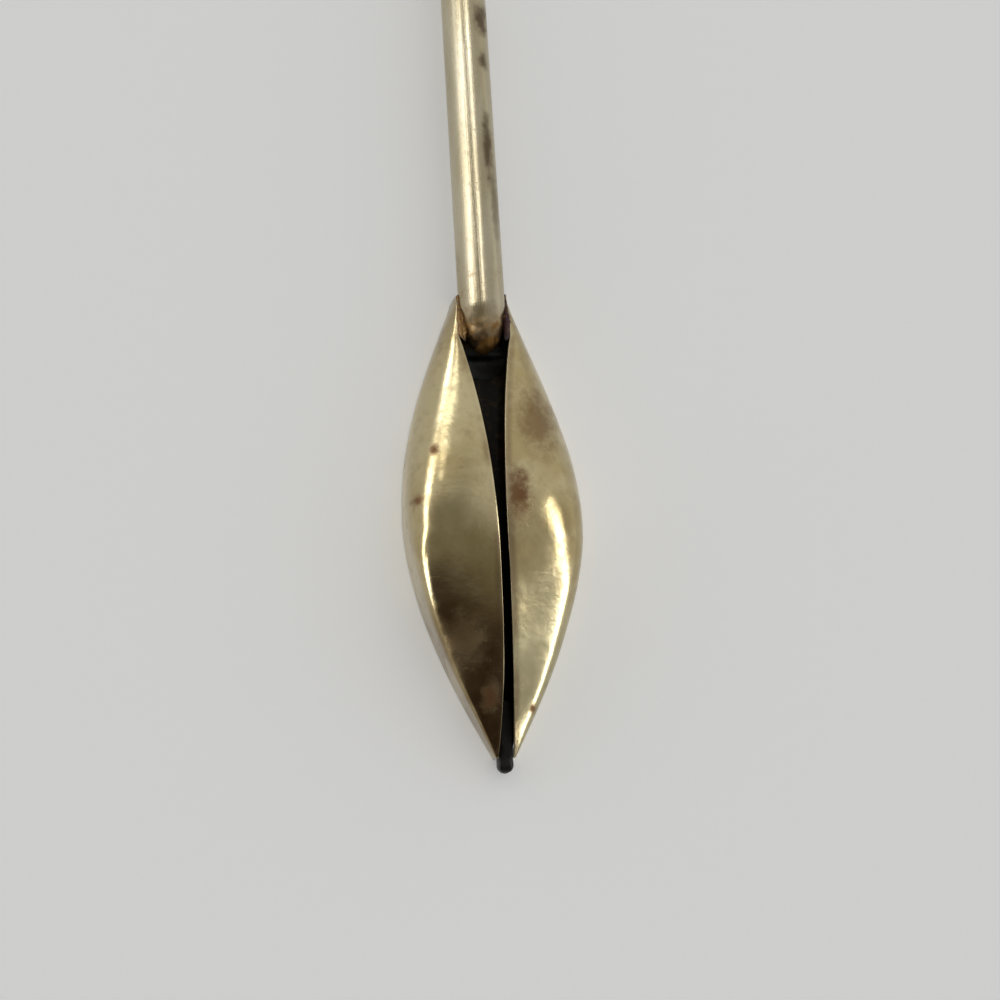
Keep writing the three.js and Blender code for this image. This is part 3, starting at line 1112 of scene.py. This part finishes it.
class FinishSketch(NodeSketch):
    """Node layout of one finish, with places in mm."""

    line_noise: tuple[float, float, float] = (1.0, 3.0, 0.6)
    ragged: Pattern = Pattern(0.9, 4.0, 0.65)
    wander: Span = (1.2, -0.65)
    fade: Span = (1.0, 0.15)
    specular: float = 0.25

    def __init__(self, name: str) -> None:
        """Start a material.

        Args:
            name: name of the material.
        """
        self.material = bpy.data.materials.new(name)
        self.material.use_nodes = True
        super().__init__(self.material.node_tree)
        self.shader = self.tree.nodes["Principled BSDF"]
        whole = self.add("ShaderNodeTexCoord").outputs["Object"]
        self.place = self.vector("MULTIPLY", whole, (1 / MM,) * 3)

    def raw(self, pattern: Pattern) -> Wire:
        """Noise of a pattern, before its ramp."""
        return self.noise(self.place, pattern.scale, pattern.detail, pattern.roughness)

    def pattern(self, pattern: Pattern) -> Wire:
        """Value of a pattern at each place."""
        return self.span(self.raw(pattern), *pattern.ramp)

    def rough(self, ground: float, *gains: tuple[object, float]) -> Wire:
        """Roughen the surface step by step.

        Args:
            ground: roughness of the clean metal.
            gains: value and the roughness that it adds where it is full.

        Returns:
            Roughness, held from 0 to 1.
        """
        for number, (value, gain) in enumerate(gains, 1):
            full = number == len(gains)
            ground = self.plus(value, gain, ground, clamp=full)
        return ground

    def streaks(self, stretch: Point, turn: float, levels: Span) -> Wire:
        """Draw fine lines in one direction.

        Args:
            stretch: features for each mm along X, Y and Z.
            turn: angle of the lines about Z, in degrees.
            levels: noise levels where the lines begin and where they are full.

        Returns:
            Value from 0 between the lines to 1 on them.
        """
        feeds = {"Vector": self.place, "Rotation": (0, 0, math.radians(turn)), "Scale": stretch}
        place = self.out("ShaderNodeMapping", feeds, vector_type="POINT")
        return self.span(self.noise(place, *self.line_noise), *levels)

    def stains(self, spots: tuple[Stain, ...], neck_y: float) -> Wire:
        """Give the darkest of several ragged spots at a place.

        Args:
            spots: the spots.
            neck_y: Y of the neck in mm, from which the spots' distances count.

        Returns:
            Value from 0 on clean metal to each spot's darkness.
        """
        wobble = self.plus(self.raw(self.ragged), *self.wander)
        darkest = None
        for spot in spots:
            centre = (spot.across, neck_y - spot.along, 0)
            offset = self.vector("SUBTRACT", self.place, centre)
            shrink = (1 / spot.reach[0], 1 / spot.reach[1], 0)
            offset = self.vector("MULTIPLY", offset, shrink)
            distance = self.math("ADD", self.vector("LENGTH", offset), wobble)
            level = self.span(distance, *self.fade, 0.0, spot.dark)
            darkest = level if darkest is None else self.most(darkest, level)
        return darkest

    def finish(
        self, colour: object, metallic: object, roughness: object, height: object, depth: float
    ) -> Material:
        """Feed the shader.

        Args:
            colour: base colour.
            metallic: how much the surface is bare metal.
            roughness: roughness of the surface.
            height: relief from 0 to 1.
            depth: depth of the relief in mm.

        Returns:
            The material.
        """
        feeds = {"Strength": 1.0, "Distance": depth * MM, "Height": height}
        self.feed(self.shader, {
            "Base Color": colour, "Metallic": metallic, "Roughness": roughness,
            "Normal": self.out("ShaderNodeBump", feeds), "Specular IOR Level": self.specular,
        })
        return self.material


@dataclass(frozen=True)
class LeafBrass:
    """Aged, hand-polished brass sheet with brown spots, fine scratches and soot inside; a painted
    reflection darkens the left side and tints the right side toward the tip, and painted shade lines
    the slit's edges.
    """

    pale: Colour = (0.775, 0.72, 0.565)
    warm: Colour = (0.70, 0.63, 0.46)
    # film: tarnish film colour, also the colour of the painted dark reflection on the left toward
    # the tip
    film: Colour = (0.45, 0.36, 0.24)
    # brown of the stains and specks, also of the painted shade along the slit
    spot: Colour = (0.38, 0.25, 0.14)
    soot: Colour = (0.11, 0.095, 0.08)
    worn: Colour = (0.88, 0.84, 0.70)
    # colour of the painted pale reflection on the right side toward the tip
    reflection_tint: Colour = (0.745, 0.72, 0.59)
    cloud: Pattern = Pattern(0.14, 4.0, 0.6, (0.36, 0.64))
    haze: Pattern = Pattern(0.5, 6.0, 0.68, (0.48, 0.7))
    specks: Pattern = Pattern(1.5, 3.0, 0.6, (0.7, 0.78, 0.0, 0.45))
    ripple: Pattern = Pattern(1.1, 4.0, 0.6)
    # painted reflection: the left side turns darker brown toward the tip
    painted_dark_reflection: Ramps = ((28.0, 42.0), (-0.2, -1.4), (0.0, 1.0, 0.45, 0.75))
    # painted reflection: the right side turns paler and greener toward the tip
    painted_pale_reflection: Ramps = ((28.0, 42.0), (0.2, 1.4, 0.0, 0.6))
    heated: Ramps = ((8.0, 0.5), (0.0, 0.6, 0.35, 0.8))
    # painted shade along the slit's edges, mottled like grime
    slit_shade_and_grime: Ramps = ((0.9, 0.1), (0.0, 1.0, 0.15, 0.6))
    sooted: Ramps = ((0.0, 1.0, 0.7, 1.0), (2.0, 9.0, 0.25, 1.0))
    scratches: tuple[tuple[Point, float], ...] = (((0.2, 4.5, 0.2), 52), ((4.0, 0.12, 4.0), -9))
    scratch_levels: Span = (0.6, 0.76)
    film_share: float = 0.3
    worn_share: float = 0.25
    roughness: float = 0.17
    roughening: tuple[float, ...] = (0.09, 0.3, 0.35, 0.06)
    stain_cover: float = 0.3
    soot_cover: float = 0.6
    ripple_share: float = 0.6
    scratch_depth: float = -0.035
    depth: float = 0.03
    spots: tuple[Stain, ...] = (
        Stain(-6.6, 17.9, (0.75, 0.9), 0.95),
        Stain(-8.7, 23.4, (0.7, 0.8), 0.9),
        Stain(-1.8, 44.5, (1.3, 2.2), 0.85),
        Stain(-4.4, 38.5, (2.8, 3.8), 0.45),
        Stain(1.8, 23.2, (2.1, 4.1), 0.95),
        Stain(4.8, 15.2, (3.1, 5.2), 0.65),
        Stain(2.8, 46.0, (0.6, 0.7), 0.95),
    )

    def make(self, neck_y: float) -> Material:
        """Lay out the finish.

        Args:
            neck_y: Y of the neck in mm, from which the spots count.

        Returns:
            The material.
        """
        sketch = FinishSketch("aged leaf brass")
        times, most = sketch.times, sketch.most
        inside, edge, gap = (sketch.mark(name) for name in ("inside", "edge", "slit_gap"))
        outside = sketch.minus(1.0, inside, clamp=True)
        cloud, haze = sketch.pattern(self.cloud), sketch.pattern(self.haze)
        stain = times(sketch.stains(self.spots, neck_y), outside)
        across, behind, _ = sketch.split(sketch.place)
        along = sketch.minus(neck_y, behind)
        # painted reflection: darker on the left side toward the tip
        painted_dark_reflection = sketch.ramps((along, across, cloud), self.painted_dark_reflection)
        # painted reflection: paler and greener on the right side toward the tip
        painted_pale_reflection = sketch.ramps((along, across), self.painted_pale_reflection)
        heat = sketch.ramps((along, haze), self.heated)
        # painted shade: brown darkening along the slit's edges, mottled like grime
        slit_shade_and_grime_mask = sketch.ramps((gap, cloud), self.slit_shade_and_grime)
        sooty = sketch.ramps((haze, along), self.sooted, inside)
        scratch = most(*(sketch.streaks(*each, self.scratch_levels) for each in self.scratches))
        colour = sketch.coats(
            linear(self.pale), (cloud, self.warm), (painted_pale_reflection, self.reflection_tint),
            # heat tint is real; the painted dark reflection shares this film coat
            (times(haze, self.film_share), self.film), (most(heat, painted_dark_reflection), self.film),
            (most(stain, sketch.pattern(self.specks)), self.spot),
            # painted shade along the slit's edges, in the stain brown
            (times(slit_shade_and_grime_mask, outside), self.spot), (times(edge, self.worn_share), self.worn),
            (sooty, self.soot),
        )
        rough = sketch.rough(self.roughness, *zip((haze, stain, sooty, scratch), self.roughening))
        cover = sketch.plus(stain, self.stain_cover, times(sooty, self.soot_cover))
        lines = times(scratch, self.scratch_depth)
        relief = sketch.plus(sketch.raw(self.ripple), self.ripple_share, lines)
        return sketch.finish(colour, sketch.minus(1.0, cover), rough, relief, self.depth)


@dataclass(frozen=True)
class RodBrass:
    """Drawn brass rod, finely brushed along its length, with brown patches, most of them on its
    right side.
    """

    pale: Colour = (0.79, 0.755, 0.66)
    warm: Colour = (0.71, 0.665, 0.55)
    spot: Colour = (0.33, 0.25, 0.17)
    burnt: Colour = (0.56, 0.42, 0.22)
    scale: Colour = (0.17, 0.12, 0.115)
    brush: tuple[Point, float, Span] = ((9.0, 0.06, 9.0), 0, (0.35, 0.65))
    cloud_stretch: Point = (0.3, 0.06, 0.3)
    cloud_detail: float = 4.0
    cloud_levels: Ramp = (0.38, 0.62)
    haze: Pattern = Pattern(0.7, 6.0, 0.68, (0.5, 0.72))
    patch: Pattern = Pattern(0.55, 5.0, 0.68, (0.42, 0.56))
    ripple: Pattern = Pattern(0.9, 3.0, 0.5)
    heated: Ramps = ((1.4, 4.4), (0.0, 1.0, 0.6, 1.0))
    scaled: Ramps = ((3.0, 7.4), (1.0, 0.0, 0.3, 0.9))
    tinted: Ramps = ((-9.0, 0.0), (0.0, 1.0, 0.1, 0.45))
    brush_share: float = 0.25
    roughness: float = 0.2
    roughening: tuple[float, ...] = (0.1, 0.1, 0.25)
    stain_cover: float = 0.5
    heat_cover: float = 0.2
    brush_depth: float = 0.15
    depth: float = 0.014
    # brown patches, most on the rod's right side
    spots: tuple[Stain, ...] = (
        Stain(1.6, -31.5, (1.2, 2.8), 0.85),
        Stain(1.5, -26.6, (0.8, 1.5), 0.8),
        Stain(1.4, -16.5, (0.8, 5.6), 0.85),
        Stain(1.9, -10.0, (0.7, 6.0), 0.5),
        Stain(-1.2, -60.0, (1.4, 5.0), 0.3),
        Stain(0.8, -110.0, (1.6, 8.0), 0.3),
    )

    def make(self, neck_y: float) -> Material:
        """Lay out the finish.

        Args:
            neck_y: Y of the neck in mm, from which the spots count.

        Returns:
            The material.
        """
        sketch = FinishSketch("brushed rod brass")
        times, most = sketch.times, sketch.most
        brush = sketch.streaks(*self.brush)
        stretched = sketch.vector("MULTIPLY", sketch.place, self.cloud_stretch)
        cloud = sketch.noise(stretched, 1.0, self.cloud_detail)
        cloud = sketch.span(cloud, *self.cloud_levels)
        haze, patch = sketch.pattern(self.haze), sketch.pattern(self.patch)
        stain = sketch.stains(self.spots, neck_y)
        along = sketch.minus(neck_y, sketch.split(sketch.place)[1])
        heat = sketch.ramps((along, patch), self.heated)
        scaly = sketch.ramps((along, patch), self.scaled)
        tint = sketch.ramps((along, haze), self.tinted)
        colour = sketch.coats(
            linear(self.pale), (cloud, self.warm), (times(brush, self.brush_share), self.warm),
            (tint, self.burnt), (stain, self.spot), (heat, self.burnt), (scaly, self.scale),
        )
        gains = zip((brush, haze, most(stain, heat)), self.roughening)
        cover = most(times(stain, self.stain_cover), times(heat, self.heat_cover))
        relief = sketch.plus(brush, self.brush_depth, sketch.raw(self.ripple))
        rough = sketch.rough(self.roughness, *gains)
        return sketch.finish(colour, sketch.minus(1.0, cover), rough, relief, self.depth)


@dataclass(frozen=True)
class DarkTarnish:
    """Unpolished brass under the slit, gone nearly black."""

    dark: Colour = (0.10, 0.09, 0.075)
    brown: Colour = (0.23, 0.18, 0.13)
    crust: Pattern = Pattern(1.3, 6.0, 0.66, (0.45, 0.7))
    bare: float = 0.45
    roughness: float = 0.4
    roughening: float = 0.3
    depth: float = 0.05

    def make(self) -> Material:
        """Lay out the finish.

        Returns:
            The material.
        """
        sketch = FinishSketch("dark tarnish")
        crust = sketch.raw(self.crust)
        brown = sketch.span(crust, *self.crust.ramp)
        colour = sketch.coats(linear(self.dark), (brown, self.brown))
        rough = sketch.rough(self.roughness, (crust, self.roughening))
        return sketch.finish(colour, self.bare, rough, crust, self.depth)


@dataclass(frozen=True)
class BrownBraze:
    """Filler metal with a brown to purple oxide skin and paler bare spots."""

    brown: Colour = (0.47, 0.36, 0.21)
    purple: Colour = (0.24, 0.165, 0.165)
    bare: Colour = (0.56, 0.46, 0.30)
    soot: Colour = (0.045, 0.04, 0.035)
    crust: Pattern = Pattern(1.2, 5.0, 0.62)
    worn: Pattern = Pattern(2.2, 4.0, 0.6, (0.56, 0.7))
    purple_across: Ramp = (-2.6, 2.6, -0.12, 0.16)
    purple_levels: Ramp = (0.4, 0.6)
    worn_share: float = 0.7
    soot_from: float = 4.6
    soot_over: float = 1.2
    soot_worn: Ramp = (1.0, 0.0, 0.93, 1.0)
    bared: Ramps = ((0.0, 1.0, 0.5, 0.95), (0.0, 1.0, 1.0, 0.3))
    roughness: float = 0.27
    roughening: float = 0.3
    depth: float = 0.05

    def make(self, neck_y: float) -> Material:
        """Lay out the finish, black with soot past the rod's nose.

        Args:
            neck_y: Y of the leaf's neck in mm.

        Returns:
            The material.
        """
        sketch = FinishSketch("brown braze")
        span = sketch.span
        crust, worn = sketch.raw(self.crust), sketch.pattern(self.worn)
        across, along, _ = sketch.split(sketch.place)
        skin = sketch.math("ADD", crust, span(across, *self.purple_across))
        start = neck_y - self.soot_from
        past_nose = (start, start - self.soot_over)
        soot = sketch.ramps((along, worn), (past_nose, self.soot_worn))
        colour = sketch.coats(
            linear(self.brown), (span(skin, *self.purple_levels), self.purple),
            (sketch.times(worn, self.worn_share), self.bare), (soot, self.soot),
        )
        rough = sketch.rough(self.roughness, (crust, self.roughening))
        bare = sketch.ramps((worn, soot), self.bared)
        return sketch.finish(colour, bare, rough, crust, self.depth)


@dataclass(frozen=True)
class SoftLight:
    """Lit panel that faces the leaf, placed by the directions of its two ends from the leaf."""

    name: str
    first: Point
    last: Point
    width: float
    glow: float
    reach: Reach = Reach.LEAF
    distance: float = 0.5

    def build(self, aim: Vector, pieces: list[Piece]) -> None:
        """Hang the panel so that it faces a point, unseen by the camera itself.

        Args:
            aim: point in metres.
            pieces: pieces that the panel lights.
        """
        ends = [Vector(end).normalized() * self.distance for end in (self.first, self.last)]
        long_way, away = ends[1] - ends[0], (ends[0] + ends[1]) / 2
        lamp = bpy.data.lights.new(self.name, "AREA")
        lamp.shape = "RECTANGLE"
        lamp.size, lamp.size_y = long_way.length, self.width
        lamp.energy = self.glow * math.pi * lamp.size * lamp.size_y
        panel = link(bpy.data.objects.new(self.name, lamp))
        lit = bpy.data.collections.new(self.name)
        for piece in pieces:
            lit.objects.link(piece)
        panel.light_linking.receiver_collection = lit
        across = long_way.normalized()
        back = (away - across * away.dot(across)).normalized()
        panel.matrix_world = stand(aim + away, across, back.cross(across), back)
        panel.visible_camera = False


@dataclass(frozen=True)
class Stage:
    """Pale floor, soft light and the camera's stand, aimed in mm and degrees."""

    floor_colour: Colour = (0.94, 0.945, 0.95)
    floor_glow: float = 0.3
    floor_roughness: float = 0.9
    floor_metres: float = 6.0
    floor_drop: float = 0.05
    room_back: Colour = (0.87, 0.87, 0.86)
    room_front: Colour = (0.68, 0.675, 0.66)
    room_left: Colour = (0.55, 0.54, 0.505)
    room_dark: Colour = (0.27, 0.225, 0.195)
    front_along: Ramp = (0.62, 0.15)
    left_zone: Ramps = ((0.18, -0.04), (0.66, 0.36))
    dark_zone: Ramps = ((0.18, -0.04), (-0.08, -0.46))
    low_zone: Ramps = ((0.75, 0.05), (-0.6, -0.2))
    skyline: Ramp = (0.12, 0.02)
    aim: Point = (0.745, -90.502, 4.0)
    yaw: float = 9.302
    pitch: float = 9.455
    roll: float = -3.432
    distance: float = 230.0
    frame_width: float = 1000 / 9.184
    sensor: float = 36.0
    clip_metres: float = 0.005
    lights: tuple[SoftLight, ...] = (
        SoftLight("right softbox", (0.45, 0.32, 0.83), (0.73, -0.20, 0.65), 0.11, 5.5),
        SoftLight("right low strip", (0.75, -0.22, 0.62), (0.91, -0.39, 0.13), 0.075, 5.5),
        SoftLight("right tip strip", (0.90, -0.41, 0.14), (0.62, -0.76, 0.18), 0.08, 5.5),
        SoftLight("left high strip", (-0.50, 0.62, 0.60), (-0.66, 0.73, 0.20), 0.035, 2.6),
        SoftLight("left low strip", (-0.71, 0.67, 0.20), (-0.98, -0.10, 0.13), 0.12, 4.0),
        SoftLight("left tip strip", (-0.95, -0.08, 0.30), (-0.84, -0.44, 0.30), 0.27, 4.5),
        SoftLight("left rod light", (-0.33, 0.50, 0.80), (-0.84, 0.24, 0.49), 0.09, 3.5, Reach.ROD),
        SoftLight("left rod wash", (-0.70, 0.50, 0.50), (-0.92, 0.25, 0.35), 0.16, 1.0, Reach.ROD),
        SoftLight("right rod light", (-0.02, 0.55, 0.83), (0.12, 0.32, 0.94), 0.11, 3.6, Reach.ROD),
    )

    def build_floor(self) -> None:
        """Lay the pale floor just under the hood's rim."""
        far, level = self.floor_metres, -self.floor_drop * MM
        corners = [(-far, -far, level), (far, -far, level), (far, far, level), (-far, far, level)]
        mesh = bpy.data.meshes.new("floor")
        mesh.from_pydata(corners, [], [(0, 1, 2, 3)])
        sketch = FinishSketch("floor")
        path = sketch.add("ShaderNodeLightPath").outputs
        seen = sketch.math("ADD", path["Is Camera Ray"], path["Is Glossy Ray"])
        seen = sketch.math("ADD", seen, path["Is Transmission Ray"], clamp=True)
        colour = linear(self.floor_colour)
        sketch.feed(sketch.shader, {
            "Base Color": colour, "Roughness": self.floor_roughness, "Emission Color": colour,
            "Emission Strength": sketch.times(seen, self.floor_glow),
        })
        mesh.materials.append(sketch.material)
        floor = link(bpy.data.objects.new("floor", mesh))

    def build_room(self) -> None:
        """Light the room: pale at the back, dimmer at the front, dim and warm high on the left."""
        world = bpy.data.worlds.new("room")
        world.use_nodes = True
        bpy.context.scene.world = world
        sketch = NodeSketch(world.node_tree)
        toward = sketch.add("ShaderNodeTexCoord").outputs["Generated"]
        across, along, high = sketch.split(toward)
        low = sketch.ramps((high, along), self.low_zone)
        low = sketch.most(low, sketch.span(high, *self.skyline))
        lit = sketch.coats(
            linear(self.room_back), (sketch.span(along, *self.front_along), self.room_front),
            (sketch.ramps((across, along), self.left_zone), self.room_left),
            (sketch.ramps((across, along), self.dark_zone), self.room_dark),
            (low, self.room_back),
        )
        sketch.feed(world.node_tree.nodes["Background"], {"Color": lit})

    def build_camera(self) -> None:
        """Set the camera above the leaf, leaning and turned as in the photograph."""
        yaw, pitch, roll = (math.radians(angle) for angle in (self.yaw, self.pitch, self.roll))
        side, front = -math.sin(yaw), -math.sin(pitch)
        back = Vector((side, front, math.sqrt(1 - side ** 2 - front ** 2)))
        up = (Vector((0, 1, 0)) - back * back.y).normalized()
        right = up.cross(back)
        turned_right = math.cos(roll) * right + math.sin(roll) * up
        turned_up = math.cos(roll) * up - math.sin(roll) * right
        lens = bpy.data.cameras.new("camera")
        lens.sensor_width = self.sensor
        lens.lens = self.sensor * self.distance / self.frame_width
        lens.clip_start = self.clip_metres
        camera = link(bpy.data.objects.new("camera", lens))
        place = (Vector(self.aim) + back * self.distance) * MM
        camera.matrix_world = stand(place, turned_right, turned_up, back)
        bpy.context.scene.camera = camera

    def build(self, pieces: dict[Reach, list[Piece]]) -> None:
        """Set up the floor, the light and the camera.

        Args:
            pieces: pieces of the snuffer by the lights that fall on them.
        """
        bpy.context.scene.view_settings.view_transform = "Standard"
        self.build_floor()
        self.build_room()
        for light in self.lights:
            light.build(Vector(self.aim) * MM, pieces[light.reach])
        self.build_camera()


def main() -> None:
    """Build the snuffer piece by piece and set the stage."""
    logging.basicConfig(level=logging.INFO, format="%(message)s")
    form = LeafForm.from_frame()
    leaf_finish = LeafBrass().make(form.neck_y)
    rod_finish = RodBrass().make(form.neck_y)
    dark_finish = DarkTarnish().make()
    braze_finish = BrownBraze().make(form.neck_y)
    channel = MidribChannel(form)
    made = {}
    for side in Side:
        made[f"{side.word}_leaf"] = (HalfLeaf(form, side).build(), Slot.LEAF, leaf_finish)
    rod = HandleRod(form).build(rod_finish)
    made["handle_stem"] = (rod, Slot.ROD, rod_finish)
    made["midrib_channel"] = (channel.build(), Slot.CHANNEL, dark_finish)
    lumps = BrazeBeads(form, channel).build(braze_finish)
    lumps["stem_end_braze"] = EndPool(form, channel).build()
    lumps["tip_braze"] = TipNub(form, channel).build()
    made |= {node: (lump, Slot.BRAZE, braze_finish) for node, lump in lumps.items()}
    for node, (piece, slot, finish) in made.items():
        hand_over(piece, node, slot, finish)
    rest = [piece for piece, _, _ in made.values() if piece is not rod]
    Stage().build({Reach.ROD: [rod], Reach.LEAF: rest})


if __name__ == "__main__":
    main()
